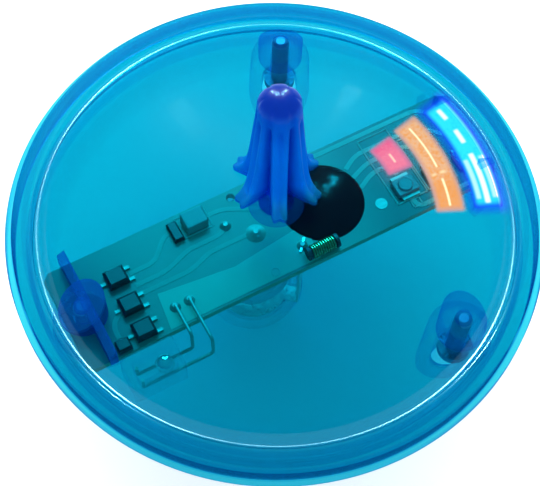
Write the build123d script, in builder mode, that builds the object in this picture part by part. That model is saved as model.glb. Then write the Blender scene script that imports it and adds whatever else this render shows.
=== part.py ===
"""Light-up spinning top: two clear shells round a lamp board, with a finger stem and a ball tip.

Millimetres, +Z up along the spin axis. The origin is the lowest point of the tip ball, on the
spin axis. The circuit board lies along X, with its three lamps at the +X end.
"""
import os
from math import cos, radians, sin, sqrt

from build123d import *

os.makedirs("parts", exist_ok=True)

# ---------------------------------------------------------------- driving dimensions
rim_radius = 37.5  # outer radius of the upper shell's raised rim
rim_top_z = 28.5  # height of the rim above the table
flange_radius = 38.6  # the lower shell's flange wraps the rim
flange_top_z = 26.9
flange_bottom_z = 23.7
rim_foot_z = 24.0  # underside of the rim, seated in the flange
lip_inner_radius = 34.6  # inner edge of the rim's top face
groove_radius = 34.0  # where the dome meets the rim
dome_radius = 60.0
dome_top_z = 37.7
dome_wall = 1.5
bowl_radius = 42.0
bowl_bottom_z = 1.2
bowl_wall = 1.8
seat_gap = 0.1  # radial play between the rim and the flange

board_top_z = 25.2
board_thickness = 1.2
board_length = 66.4
board_width = 16.3
board_corner = 1.0

boss_circle_radius = 30.3  # three screw bosses, one over the board's -X end
boss_count = 3
boss_first_angle = 60.0
post_radius = 3.4  # upper shell's screw posts
tube_base_radius = 4.85  # lower shell's screw tubes, drawn at tube_draft
tube_draft = 1.5
tube_base_z = 12.0

ball_radius = 2.5
ball_play = 0.05  # radial play of the ball in its socket
nose_radius = 4.6
nose_top_z = 6.8

stem_top_z = 58.6
stem_spigot_radius = 2.5
stem_spigot_bottom_z = 32.2
fin_count = 6
fin_width = 1.6
fin_angle = 5.0
stem_core_radius = 2.1

holder_x = -3.7  # the cell stack hangs below the board, beside the chip's weight
holder_radius = 7.1
holder_bottom_z = 7.2
holder_floor = 1.0
cell_radius = 5.8
cell_height = 3.1
cell_play = 0.15
cell_names = ["cell_bottom", "cell_middle", "cell_top"]
strip_angle = -42.0  # where the lower contact's strip climbs the holder

lamp_names = ["led_red", "led_orange", "led_blue"]
lamp_x = [19.8, 25.0, 30.3]
lamp_y = -3.5
lamp_length = 3.5
lamp_width = 2.8
lamp_height = 1.0

# ---------------------------------------------------------------- derived dimensions
dome_centre_z = dome_top_z - dome_radius
dome_inner_radius = dome_radius - dome_wall
bowl_centre_z = bowl_bottom_z + bowl_radius
bowl_inner_radius = bowl_radius - bowl_wall
board_bottom_z = board_top_z - board_thickness


def dome_z(radius, sphere_radius):
    """Height of a dome sphere at a distance from the spin axis."""
    return dome_centre_z + sqrt(sphere_radius**2 - radius**2)


def bowl_z(radius, sphere_radius):
    """Height of a bowl sphere at a distance from the spin axis."""
    return bowl_centre_z - sqrt(sphere_radius**2 - radius**2)


# ---------------------------------------------------------------- upper shell
# A shallow dome inside a raised rim. Posts, a cross wall over the board's -X end, two hold-down
# ribs at its +X end and the stem's socket hang from the underside and are trimmed to the dome.
rim_inner_radius = 35.0
lip_round = 0.55
groove_round = 0.85
cross_wall_x = -29.6
cross_wall_thickness = 1.2
cross_wall_width = 17.4
hold_rib_x = 32.0
hold_rib_y = 6.2
hold_rib_length = 2.6
hold_rib_thickness = 1.0
socket_radius = 4.0
socket_bottom_z = 31.6
pilot_radius = 1.15
pilot_depth = 4.6

with BuildPart() as upper_shell:
    with BuildSketch(Plane.XY.offset(board_bottom_z)):
        with PolarLocations(boss_circle_radius, boss_count, start_angle=boss_first_angle):
            Circle(post_radius)
        with Locations((-boss_circle_radius, 0)):
            Circle(post_radius, mode=Mode.SUBTRACT)
    extrude(amount=dome_top_z - board_bottom_z)
    with BuildSketch(Plane.XY.offset(board_top_z)):
        with Locations((-boss_circle_radius, 0)):
            Circle(post_radius)
        with Locations((cross_wall_x, 0)):
            Rectangle(cross_wall_thickness, cross_wall_width)
        with Locations((hold_rib_x, hold_rib_y), (hold_rib_x, -hold_rib_y)):
            Rectangle(hold_rib_length, hold_rib_thickness)
    extrude(amount=dome_top_z - board_top_z)
    with BuildSketch(Plane.XY.offset(socket_bottom_z)):
        Circle(socket_radius)
    extrude(amount=dome_top_z - socket_bottom_z)
    trim_radius = dome_radius - dome_wall / 2
    with Locations((0, 0, dome_centre_z)):
        Sphere(trim_radius, mode=Mode.INTERSECT)
    with BuildSketch(Plane.XZ) as upper_profile:
        with BuildLine():
            Line((0, dome_z(0, dome_inner_radius)), (0, dome_top_z))
            ThreePointArc(
                (0, dome_top_z),
                (groove_radius / 2, dome_z(groove_radius / 2, dome_radius)),
                (groove_radius, dome_z(groove_radius, dome_radius)),
            )
            Polyline(
                (groove_radius, dome_z(groove_radius, dome_radius)),
                (lip_inner_radius, rim_top_z),
                (rim_radius, rim_top_z),
                (rim_radius, rim_foot_z),
                (rim_inner_radius, rim_foot_z),
                (rim_inner_radius, dome_z(rim_inner_radius, dome_inner_radius)),
            )
            ThreePointArc(
                (rim_inner_radius, dome_z(rim_inner_radius, dome_inner_radius)),
                (rim_inner_radius / 2, dome_z(rim_inner_radius / 2, dome_inner_radius)),
                (0, dome_z(0, dome_inner_radius)),
            )
        make_face()
        lip_corners = upper_profile.vertices().filter_by_position(
            Axis.Y, rim_top_z - 0.01, rim_top_z + 0.01
        )
        fillet(lip_corners, radius=lip_round)
        groove_corner = upper_profile.vertices().sort_by_distance(
            (groove_radius, dome_z(groove_radius, dome_radius))
        )[0]
        fillet(groove_corner, radius=groove_round)
    revolve(axis=Axis.Z)
    with BuildSketch(Plane.XY.offset(board_bottom_z)):
        with PolarLocations(boss_circle_radius, boss_count, start_angle=boss_first_angle):
            Circle(pilot_radius)
    extrude(amount=pilot_depth, mode=Mode.SUBTRACT)
    with BuildSketch(Plane.XY.offset(socket_bottom_z)):
        Circle(stem_spigot_radius)
    extrude(amount=dome_top_z - socket_bottom_z + 1, mode=Mode.SUBTRACT)
upper_shell.part.label = "upper_shell"
export_step(upper_shell.part, "parts/upper_shell.step")

# ---------------------------------------------------------------- lower shell
# A deep round bowl with a flange that wraps the upper rim. Three drawn screw tubes stand on its
# wall, the -X one under the board, with a forked cross rib under the board's +X end and a nose
# that holds the tip ball captive below its equator.
flange_seat_radius = rim_radius + seat_gap
flange_root_radius = 37.2
seat_z = rim_foot_z - 0.05
seat_inner_radius = sqrt(bowl_inner_radius**2 - (bowl_centre_z - seat_z) ** 2)
flange_round = 0.4
support_rib_x = 30.4
support_rib_thickness = 1.2
fork_tab_width = 1.0
fork_gap = 0.15
fork_top_z = 25.0
head_bore_radius = 2.8
head_seat_z = 18.5
screw_clear_radius = 1.5

with BuildPart() as lower_shell:
    with BuildSketch(Plane.XY.offset(tube_base_z)):
        with PolarLocations(boss_circle_radius, boss_count, start_angle=boss_first_angle):
            Circle(tube_base_radius)
    extrude(amount=board_bottom_z - tube_base_z, taper=tube_draft)
    with BuildSketch(Plane.XY.offset(tube_base_z)):
        with Locations((support_rib_x, 0)):
            Rectangle(support_rib_thickness, board_width + 2 * (fork_gap + fork_tab_width))
    extrude(amount=board_bottom_z - tube_base_z)
    with BuildSketch(Plane.XY.offset(tube_base_z)):
        fork_y = board_width / 2 + fork_gap + fork_tab_width / 2
        with Locations((support_rib_x, fork_y), (support_rib_x, -fork_y)):
            Rectangle(support_rib_thickness, fork_tab_width)
    extrude(amount=fork_top_z - tube_base_z)
    with BuildSketch(Plane.XY.offset(bowl_bottom_z + bowl_wall / 2)):
        Circle(nose_radius)
    extrude(amount=nose_top_z - bowl_bottom_z - bowl_wall / 2)
    with Locations((0, 0, bowl_centre_z)):
        Sphere(bowl_radius - bowl_wall / 2, mode=Mode.INTERSECT)
    with BuildSketch(Plane.XZ) as lower_profile:
        with BuildLine():
            ThreePointArc(
                (0, bowl_bottom_z),
                (flange_root_radius / 2, bowl_z(flange_root_radius / 2, bowl_radius)),
                (flange_root_radius, bowl_z(flange_root_radius, bowl_radius)),
            )
            Polyline(
                (flange_root_radius, bowl_z(flange_root_radius, bowl_radius)),
                (flange_radius, flange_bottom_z),
                (flange_radius, flange_top_z),
                (flange_seat_radius, flange_top_z),
                (flange_seat_radius, seat_z),
                (seat_inner_radius, seat_z),
            )
            ThreePointArc(
                (seat_inner_radius, seat_z),
                (seat_inner_radius / 2, bowl_z(seat_inner_radius / 2, bowl_inner_radius)),
                (0, bowl_z(0, bowl_inner_radius)),
            )
            Line((0, bowl_z(0, bowl_inner_radius)), (0, bowl_bottom_z))
        make_face()
        outer_corners = lower_profile.vertices().group_by(Axis.X)[-1]
        fillet(outer_corners, radius=flange_round)
    revolve(axis=Axis.Z)
    with BuildSketch(Plane.XY):
        with PolarLocations(boss_circle_radius, boss_count, start_angle=boss_first_angle):
            Circle(head_bore_radius)
    extrude(amount=head_seat_z, mode=Mode.SUBTRACT)
    with BuildSketch(Plane.XY):
        with PolarLocations(boss_circle_radius, boss_count, start_angle=boss_first_angle):
            Circle(screw_clear_radius)
    extrude(amount=rim_top_z, mode=Mode.SUBTRACT)
    with Locations((0, 0, ball_radius)):
        Sphere(ball_radius + ball_play, mode=Mode.SUBTRACT)
lower_shell.part.label = "lower_shell"
export_step(lower_shell.part, "parts/lower_shell.step")

# ---------------------------------------------------------------- tip ball
# A hardened ball snapped into the nose. It stands still on the table while the top turns on it.
with BuildPart() as tip_ball:
    with Locations((0, 0, ball_radius)):
        Sphere(ball_radius)
tip_ball.part.label = "tip_ball"
export_step(tip_ball.part, "parts/tip_ball.step")

# ---------------------------------------------------------------- finger stem
# Six fins flare from a slim grip to blades that stand on the dome, under a rounded cap. A spigot
# below them is pressed into the upper shell's socket.
fin_foot_radius = 6.4
fin_foot_height = 1.0
fin_waist = (4.1, 41.5)
fin_shank = (3.3, 47.5)
cap_radius = 2.75
cap_bottom_z = 56.2
cap_height = stem_top_z - cap_bottom_z
cap_sphere_radius = (cap_radius**2 + cap_height**2) / (2 * cap_height)
cap_shoulder = (
    cap_sphere_radius * sin(radians(45)),
    stem_top_z - cap_sphere_radius * (1 - cos(radians(45))),
)
foot_z = dome_z(fin_foot_radius, dome_radius) - 0.5

with BuildPart() as stem:
    with BuildSketch(Plane.XZ):
        with BuildLine():
            Polyline(
                (0, stem_top_z),
                (0, foot_z),
                (fin_foot_radius, foot_z),
                (fin_foot_radius, foot_z + fin_foot_height),
            )
            Spline(
                (fin_foot_radius, foot_z + fin_foot_height),
                fin_waist,
                fin_shank,
                (cap_radius, cap_bottom_z),
            )
            ThreePointArc((cap_radius, cap_bottom_z), cap_shoulder, (0, stem_top_z))
        make_face()
    revolve(axis=Axis.Z)
    with BuildSketch(Plane.XY.offset(foot_z - 1)) as flute_section:
        Circle(2 * fin_foot_radius)
        Circle(stem_core_radius, mode=Mode.SUBTRACT)
        with PolarLocations(fin_foot_radius / 2, fin_count, start_angle=fin_angle):
            Rectangle(fin_foot_radius + 2, fin_width, mode=Mode.SUBTRACT)
    extrude(amount=cap_bottom_z - foot_z, mode=Mode.SUBTRACT)
    with Locations((0, 0, dome_centre_z)):
        Sphere(dome_radius, mode=Mode.SUBTRACT)
    with BuildSketch(Plane.XY.offset(stem_spigot_bottom_z)):
        Circle(stem_spigot_radius)
    extrude(amount=dome_top_z - stem_spigot_bottom_z + fin_foot_height)
stem.part.label = "stem"
export_step(stem.part, "parts/stem.step")

# ---------------------------------------------------------------- shell screws
# Three pan-head tapping screws, driven up through the lower tubes into the upper posts.
screw_radius = 1.3
screw_length = 9.6
screw_head_radius = 2.4
screw_head_height = 1.7
screw_head_round = 0.6
recess_width = 0.7
recess_length = 2.8
recess_depth = 0.9

with BuildPart() as shell_screws:
    with BuildSketch(Plane.XY.offset(head_seat_z - screw_head_height)):
        with PolarLocations(boss_circle_radius, boss_count, start_angle=boss_first_angle):
            Circle(screw_head_radius)
    extrude(amount=screw_head_height)
    head_edges = shell_screws.edges().group_by(Axis.Z)[0]
    fillet(head_edges, radius=screw_head_round)
    with BuildSketch(Plane.XY.offset(head_seat_z)):
        with PolarLocations(boss_circle_radius, boss_count, start_angle=boss_first_angle):
            Circle(screw_radius)
    extrude(amount=screw_length)
    tip_edges = shell_screws.edges().group_by(Axis.Z)[-1]
    chamfer(tip_edges, length=screw_head_round)
    with BuildSketch(Plane.XY.offset(head_seat_z - screw_head_height)):
        with PolarLocations(boss_circle_radius, boss_count, start_angle=boss_first_angle):
            Rectangle(recess_length, recess_width)
            Rectangle(recess_width, recess_length)
    extrude(amount=recess_depth, mode=Mode.SUBTRACT)
shell_screws.part.label = "shell_screws"
export_step(shell_screws.part, "parts/shell_screws.step")

# ---------------------------------------------------------------- circuit board
# A narrow phenolic strip across the whole body, clamped at -X by a screw. It has holes for the
# holder's two pins, the lower contact's strip and the upper contact's tab.
board_screw_hole_radius = 1.6
pin_y = 6.9
pin_radius = 0.6
pin_play = 0.05
strip_width = 2.4
strip_thickness = 0.35
strip_slot_play = 0.15
strip_offset = holder_radius + 0.05 + strip_thickness / 2
strip_centre = (
    holder_x + strip_offset * cos(radians(strip_angle)),
    strip_offset * sin(radians(strip_angle)),
)
tab_x = -3.2
tab_width = 1.5
tab_thickness = 0.35

with BuildPart() as circuit_board:
    with BuildSketch(Plane.XY.offset(board_bottom_z)) as board_outline:
        Rectangle(board_length, board_width)
        chamfer(board_outline.vertices(), length=board_corner)
        with Locations((-boss_circle_radius, 0)):
            Circle(board_screw_hole_radius, mode=Mode.SUBTRACT)
        with Locations((holder_x, pin_y), (holder_x, -pin_y)):
            Circle(pin_radius + pin_play, mode=Mode.SUBTRACT)
        with Locations(Location((*strip_centre, 0), (0, 0, strip_angle))):
            Rectangle(
                strip_thickness + 2 * strip_slot_play,
                strip_width + 2 * strip_slot_play,
                mode=Mode.SUBTRACT,
            )
        with Locations((tab_x, 0)):
            Rectangle(
                tab_thickness + 2 * strip_slot_play,
                tab_width + 2 * strip_slot_play,
                mode=Mode.SUBTRACT,
            )
    extrude(amount=board_thickness)
circuit_board.part.label = "circuit_board"
export_step(circuit_board.part, "parts/circuit_board.step")

# ---------------------------------------------------------------- chip blob
# The bare chip under its drop of black epoxy: a low dome with a thin skirt.
chip_x = 7.7
chip_radius = 6.3
chip_height = 1.9
chip_sphere_radius = (chip_radius**2 + chip_height**2) / (2 * chip_height)

with BuildPart() as chip_blob:
    with BuildSketch(Plane.XY.offset(board_top_z)):
        with Locations((chip_x, 0)):
            Circle(chip_radius)
    extrude(amount=chip_height)
    with Locations((chip_x, 0, board_top_z + chip_height - chip_sphere_radius)):
        Sphere(chip_sphere_radius, mode=Mode.INTERSECT)
chip_blob.part.label = "chip_blob"
export_step(chip_blob.part, "parts/chip_blob.step")

# ---------------------------------------------------------------- lamps
# Three surface-mount lamps in a row towards the rim, each a moulded package with a clear lens,
# and the two plated ends that each stands on.
lamp_round = 0.3
lens_radius = 1.15
lens_height = 0.25
terminal_length = 0.6
terminal_height = 0.7

for lamp_name, x in zip(lamp_names, lamp_x):
    with BuildPart() as lamp:
        with BuildSketch(Plane.XY.offset(board_top_z)):
            with Locations((x, lamp_y)):
                RectangleRounded(lamp_length, lamp_width, lamp_round)
        extrude(amount=lamp_height - lens_height)
        chamfer(lamp.faces().sort_by(Axis.Z)[-1].edges(), length=lamp_round / 3)
        with BuildSketch(Plane.XY.offset(board_top_z + lamp_height - lens_height)):
            with Locations((x, lamp_y)):
                Circle(lens_radius)
        extrude(amount=lens_height)
        chamfer(lamp.faces().sort_by(Axis.Z)[-1].edges(), length=lamp_round / 2)
    lamp.part.label = lamp_name
    export_step(lamp.part, f"parts/{lamp_name}.step")

with BuildPart() as led_terminals:
    terminal_y = lamp_width / 2 + terminal_length / 2
    with BuildSketch(Plane.XY.offset(board_top_z)):
        for x in lamp_x:
            with Locations((x, lamp_y + terminal_y), (x, lamp_y - terminal_y)):
                Rectangle(lamp_width, terminal_length)
    extrude(amount=terminal_height / 2)
led_terminals.part.label = "led_terminals"
export_step(led_terminals.part, "parts/led_terminals.step")

# ---------------------------------------------------------------- small board parts
# Three lamp-driver transistors in a row near the screw, a diode, a blocking resistor, a ceramic
# capacitor and three lamp resistors under the board.
transistor_x = -24.0
transistor_y = [2.7, -1.9, -6.2]
transistor_size = (3.0, 2.7, 1.3)
leg_length = 0.9
leg_width = 0.5
leg_height = 0.35
leg_pitch = 1.9
diode_place = (-27.5, -7.0)
diode_size = (2.0, 1.7, 1.1)
capacitor_place = (-10.2, 5.7)
capacitor_size = (3.4, 2.8, 1.8)
capacitor_round = 0.25
resistor_place = (-13.4, 5.4)
resistor_size = (1.5, 3.1, 0.9)
block_chamfer = 0.2
lamp_resistor_x = 15.5
lamp_resistor_y = [3.0, 0, -3.0]
lamp_resistor_size = (2.0, 1.25, 0.6)

with BuildPart() as driver_transistors:
    with BuildSketch(Plane.XY.offset(board_top_z + leg_height / 2)):
        with Locations(*[(transistor_x, y) for y in transistor_y]):
            Rectangle(transistor_size[0], transistor_size[1])
    extrude(amount=transistor_size[2])
    chamfer(driver_transistors.faces().group_by(Axis.Z)[-1].edges(), length=leg_height)
driver_transistors.part.label = "driver_transistors"
export_step(driver_transistors.part, "parts/driver_transistors.step")

with BuildPart() as transistor_legs:
    leg_x = transistor_size[0] / 2 + leg_length / 2
    with BuildSketch(Plane.XY.offset(board_top_z)):
        for y in transistor_y:
            with Locations(
                (transistor_x + leg_x, y + leg_pitch / 2),
                (transistor_x + leg_x, y - leg_pitch / 2),
                (transistor_x - leg_x, y),
            ):
                Rectangle(leg_length, leg_width)
    extrude(amount=leg_height)
transistor_legs.part.label = "transistor_legs"
export_step(transistor_legs.part, "parts/transistor_legs.step")

with BuildPart() as protection_diode:
    with BuildSketch(Plane.XY.offset(board_top_z)):
        with Locations(diode_place):
            Rectangle(diode_size[0], diode_size[1])
    extrude(amount=diode_size[2])
    chamfer(protection_diode.faces().sort_by(Axis.Z)[-1].edges(), length=block_chamfer)
protection_diode.part.label = "protection_diode"
export_step(protection_diode.part, "parts/protection_diode.step")

with BuildPart() as filter_capacitor:
    with BuildSketch(Plane.XY.offset(board_top_z)):
        with Locations(capacitor_place):
            RectangleRounded(capacitor_size[0], capacitor_size[1], capacitor_round)
    extrude(amount=capacitor_size[2])
    fillet(filter_capacitor.faces().sort_by(Axis.Z)[-1].edges(), radius=0.8 * capacitor_round)
filter_capacitor.part.label = "filter_capacitor"
export_step(filter_capacitor.part, "parts/filter_capacitor.step")

with BuildPart() as timing_resistor:
    with BuildSketch(Plane.XY.offset(board_top_z)):
        with Locations(resistor_place):
            Rectangle(resistor_size[0], resistor_size[1])
    extrude(amount=resistor_size[2])
    chamfer(timing_resistor.faces().sort_by(Axis.Z)[-1].edges(), length=block_chamfer)
timing_resistor.part.label = "timing_resistor"
export_step(timing_resistor.part, "parts/timing_resistor.step")

with BuildPart() as led_resistors:
    with BuildSketch(Plane.XY.offset(board_bottom_z - lamp_resistor_size[2])):
        with Locations(*[(lamp_resistor_x, y) for y in lamp_resistor_y]):
            Rectangle(lamp_resistor_size[0], lamp_resistor_size[1])
    extrude(amount=lamp_resistor_size[2])
led_resistors.part.label = "led_resistors"
export_step(led_resistors.part, "parts/led_resistors.step")

# ---------------------------------------------------------------- boost coil
# A ferrite rod with a single layer of enamelled wire, lying along the board's edge.
coil_x = 3.9
coil_y = -6.9
coil_length = 4.0
coil_core_radius = 0.7
coil_wire_radius = 0.17
coil_turns = 10
coil_z = board_top_z + coil_core_radius + 2 * coil_wire_radius + 0.1
coil_end_radius = 1.05
coil_end_length = 0.5

with BuildPart() as coil_core:
    with BuildSketch(Plane.YZ.offset(coil_x - coil_length / 2)):
        with Locations((coil_y, coil_z)):
            Circle(coil_core_radius)
    extrude(amount=coil_length)
    for end_x in (coil_x - coil_length / 2 - coil_end_length, coil_x + coil_length / 2):
        with BuildSketch(Plane.YZ.offset(end_x)):
            with Locations((coil_y, coil_z)):
                Circle(coil_end_radius)
        extrude(amount=coil_end_length)
coil_core.part.label = "coil_core"
export_step(coil_core.part, "parts/coil_core.step")

with BuildPart() as coil_winding:
    turn_pitch = (coil_length - 2 * coil_wire_radius) / coil_turns
    first_turn = coil_x - coil_length / 2 + coil_wire_radius + turn_pitch / 2
    for turn in range(coil_turns):
        turn_plane = Plane((first_turn + turn * turn_pitch, coil_y, coil_z), z_dir=(1, 0, 0))
        with Locations(turn_plane):
            Torus(coil_core_radius + coil_wire_radius + 0.02, coil_wire_radius)
coil_winding.part.label = "coil_winding"
export_step(coil_winding.part, "parts/coil_winding.step")

# ---------------------------------------------------------------- battery holder
# A clear cup for the stack of button cells. Two pins on its flange pass through the board and
# are staked over, and a slot in its wall lets the lower contact out.
holder_inner_radius = cell_radius + cell_play
holder_flange_radius = 7.8
holder_flange_height = 0.8
pin_top_z = board_top_z + 0.5
slot_width = strip_width + 0.4
slot_height = 1.0
slot_length = 3.0
notch_length = 1.6

with BuildPart() as battery_holder:
    with BuildSketch(Plane.XY.offset(holder_bottom_z)):
        with Locations((holder_x, 0)):
            Circle(holder_radius)
    extrude(amount=board_bottom_z - holder_bottom_z)
    fillet(battery_holder.edges().group_by(Axis.Z)[0], radius=holder_floor / 2)
    with BuildSketch(Plane.XY.offset(board_bottom_z - holder_flange_height)):
        with Locations((holder_x, 0)):
            Circle(holder_flange_radius)
    extrude(amount=holder_flange_height)
    with BuildSketch(Plane.XY.offset(holder_bottom_z + holder_floor)):
        with Locations((holder_x, 0)):
            Circle(holder_inner_radius)
    extrude(amount=board_bottom_z - holder_bottom_z, mode=Mode.SUBTRACT)
    with BuildSketch(Plane.XY.offset(holder_bottom_z + holder_floor)):
        with Locations(Location((*strip_centre, 0), (0, 0, strip_angle))):
            Rectangle(slot_length, slot_width)
    extrude(amount=slot_height, mode=Mode.SUBTRACT)
    with BuildSketch(Plane.XY.offset(board_bottom_z - holder_flange_height)):
        with Locations(Location((*strip_centre, 0), (0, 0, strip_angle))):
            Rectangle(notch_length, slot_width)
    extrude(amount=holder_flange_height, mode=Mode.SUBTRACT)
    with BuildSketch(Plane.XY.offset(board_bottom_z)):
        with Locations((holder_x, pin_y), (holder_x, -pin_y)):
            Circle(pin_radius)
    extrude(amount=pin_top_z - board_bottom_z)
battery_holder.part.label = "battery_holder"
export_step(battery_holder.part, "parts/battery_holder.step")

# ---------------------------------------------------------------- button cells
# Three 11.6 mm cells in series, each a can with a slightly smaller cap on its lower face.
cell_cap_radius = 4.7
cell_cap_height = 0.25
cell_edge = 0.25
spring_plate_thickness = 0.3
top_plate_thickness = 0.3  # the upper contact's plate, and the button below it
stack_bottom_z = board_bottom_z - 2 * top_plate_thickness - len(cell_names) * cell_height

for level, cell_name in enumerate(cell_names):
    cell_bottom_z = stack_bottom_z + level * cell_height
    with BuildPart() as cell:
        with BuildSketch(Plane.XY.offset(cell_bottom_z)):
            with Locations((holder_x, 0)):
                Circle(cell_cap_radius)
        extrude(amount=cell_cap_height)
        with BuildSketch(Plane.XY.offset(cell_bottom_z + cell_cap_height)):
            with Locations((holder_x, 0)):
                Circle(cell_radius)
        extrude(amount=cell_height - cell_cap_height)
        fillet(cell.edges().group_by(Axis.Z)[-1], radius=cell_edge)
    cell.part.label = cell_name
    export_step(cell.part, f"parts/{cell_name}.step")

# ---------------------------------------------------------------- cell contacts
# A coil spring under the stack presses it up against a plate on the board. The spring stands
# on a floor plate whose strip leaves through the slot and climbs the holder to the board.
spring_wire_radius = 0.25
spring_radius = 3.8
spring_turns = 3
contact_rise = 0.5  # how far the strip and the tab stand above the board
strip_top_z = board_top_z + contact_rise
floor_plate_radius = 5.4
top_plate_radius = 4.6
spring_floor_z = holder_bottom_z + holder_floor + spring_plate_thickness
spring_height = stack_bottom_z - spring_floor_z - 2 * spring_wire_radius

with BuildPart() as battery_spring:
    with BuildLine() as spring_path:
        Helix(
            pitch=spring_height / spring_turns,
            height=spring_height,
            radius=spring_radius,
            center=(holder_x, 0, spring_floor_z + spring_wire_radius),
        )
    with BuildSketch(Plane(origin=spring_path.line @ 0, z_dir=spring_path.line % 0)):
        Circle(spring_wire_radius)
    sweep(is_frenet=True)
battery_spring.part.label = "battery_spring"
export_step(battery_spring.part, "parts/battery_spring.step")

with BuildPart() as lower_contact:
    with BuildSketch(Plane.XY.offset(holder_bottom_z + holder_floor)):
        with Locations((holder_x, 0)):
            Circle(floor_plate_radius)
        tongue_length = strip_offset + strip_thickness / 2
        tongue_centre = (
            holder_x + tongue_length / 2 * cos(radians(strip_angle)),
            tongue_length / 2 * sin(radians(strip_angle)),
        )
        with Locations(Location((*tongue_centre, 0), (0, 0, strip_angle))):
            Rectangle(tongue_length, strip_width)
    extrude(amount=spring_plate_thickness)
    with BuildSketch(Plane.XY.offset(holder_bottom_z + holder_floor)):
        with Locations(Location((*strip_centre, 0), (0, 0, strip_angle))):
            Rectangle(strip_thickness, strip_width)
    extrude(amount=strip_top_z - holder_bottom_z - holder_floor)
lower_contact.part.label = "lower_contact"
export_step(lower_contact.part, "parts/lower_contact.step")

with BuildPart() as upper_contact:
    with BuildSketch(Plane.XY.offset(board_bottom_z - top_plate_thickness)):
        with Locations((holder_x, 0)):
            Circle(top_plate_radius)
    extrude(amount=top_plate_thickness)
    with BuildSketch(Plane.XY.offset(board_bottom_z - top_plate_thickness)):
        with Locations((tab_x, 0)):
            Rectangle(tab_thickness, tab_width)
    extrude(amount=top_plate_thickness + board_thickness + contact_rise)
    with BuildSketch(Plane.XY.offset(board_bottom_z - 2 * top_plate_thickness)):
        with Locations((holder_x, 0)):
            Circle(top_plate_radius / 2)
    extrude(amount=top_plate_thickness)
upper_contact.part.label = "upper_contact"
export_step(upper_contact.part, "parts/upper_contact.step")

# ---------------------------------------------------------------- motion switch
# A clear box beside the board, with a loose steel ball in it. Spinning throws the ball out
# along -X until it bridges two contact posts and wakes the chip.
switch_x = (-29.0, -21.0)
switch_y = (-13.7, -8.5)
switch_bottom_z = 21.0
switch_height = 4.2
switch_lid_height = 0.5
switch_wall = 0.8
switch_round = 0.5
switch_ball_radius = 1.4
switch_ball_play = 0.15
switch_centre = (sum(switch_x) / 2, sum(switch_y) / 2)
switch_size = (switch_x[1] - switch_x[0], switch_y[1] - switch_y[0])
cavity_length = 5.9
cavity_width = 2 * (switch_ball_radius + switch_ball_play)
cavity_floor_z = switch_bottom_z + switch_wall
cavity_x = switch_x[1] - switch_wall - cavity_length / 2
ball_rest_x = switch_x[1] - switch_wall - switch_ball_play - switch_ball_radius
lead_radius = 0.25
lead_spacing = 2.0
lead_y = [switch_centre[1] - lead_spacing / 2, switch_centre[1] + lead_spacing / 2]
contact_x = cavity_x - cavity_length / 2 + 2 * lead_radius
contact_top_z = cavity_floor_z + 1.9

with BuildPart() as switch_case:
    with BuildSketch(Plane.XY.offset(switch_bottom_z)):
        with Locations(switch_centre):
            RectangleRounded(*switch_size, switch_round)
    extrude(amount=switch_height)
    with BuildSketch(Plane.XY.offset(cavity_floor_z)):
        with Locations((cavity_x, switch_centre[1])):
            RectangleRounded(cavity_length, cavity_width, switch_round)
    extrude(amount=switch_height, mode=Mode.SUBTRACT)
switch_case.part.label = "switch_case"
export_step(switch_case.part, "parts/switch_case.step")

with BuildPart() as switch_lid:
    with BuildSketch(Plane.XY.offset(switch_bottom_z + switch_height)):
        with Locations(switch_centre):
            RectangleRounded(*switch_size, switch_round)
    extrude(amount=switch_lid_height)
    fillet(switch_lid.edges().group_by(Axis.Z)[-1], radius=switch_lid_height / 2)
switch_lid.part.label = "switch_lid"
export_step(switch_lid.part, "parts/switch_lid.step")

with BuildPart() as switch_ball:
    with Locations((ball_rest_x, switch_centre[1], cavity_floor_z + switch_ball_radius + ball_play)):
        Sphere(switch_ball_radius)
switch_ball.part.label = "switch_ball"
export_step(switch_ball.part, "parts/switch_ball.step")

# Each lead is one bent wire: a contact post in the box, a run in the box's floor, and a hook
# over the board's edge to its solder joint.
lead_joint_x = [-16.4, -18.6]
lead_joint_y = -5.0
lead_run_z = switch_bottom_z + switch_wall / 2
lead_over_z = board_top_z + 0.9
lead_end_z = board_top_z + 0.05
lead_bends = [0.3, 0.6, 0.6, 0.4]

with BuildPart() as switch_leads:
    for y, joint_x in zip(lead_y, lead_joint_x):
        with BuildLine() as lead_path:
            FilletPolyline(
                (contact_x, y, contact_top_z),
                (contact_x, y, lead_run_z),
                (joint_x, y, lead_run_z),
                (joint_x, y, lead_over_z),
                (joint_x, lead_joint_y, lead_over_z),
                (joint_x, lead_joint_y, lead_end_z),
                radius=lead_bends,
            )
        with BuildSketch(Plane(origin=lead_path.line @ 0, z_dir=lead_path.line % 0)):
            Circle(lead_radius)
        sweep(path=lead_path.line, transition=Transition.ROUND)
switch_leads.part.label = "switch_leads"
export_step(switch_leads.part, "parts/switch_leads.step")

# ---------------------------------------------------------------- solder joints
# Small cones of solder where the cell contacts and the switch leads meet the board, and one on
# the supply track.
joint_radius = 0.85
tab_joint_radius = 1.5
joint_top_radius = 0.35
joint_height = 0.75
joint_places = [
    (-6.5, 3.1, joint_radius),
    (tab_x, 0, tab_joint_radius),
    (*strip_centre, joint_radius),
    *[(joint_x, lead_joint_y, joint_radius) for joint_x in lead_joint_x],
]

with BuildPart() as solder_joints:
    for x, y, foot_radius in joint_places:
        with Locations((x, y, board_top_z + joint_height / 2)):
            Cone(foot_radius, joint_top_radius, joint_height)
solder_joints.part.label = "solder_joints"
export_step(solder_joints.part, "parts/solder_joints.step")
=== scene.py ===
from math import asin, cos, degrees, pi, radians, sin, sqrt, tan

import bmesh
import bpy
import numpy as np
from mathutils import Matrix, Vector


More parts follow.
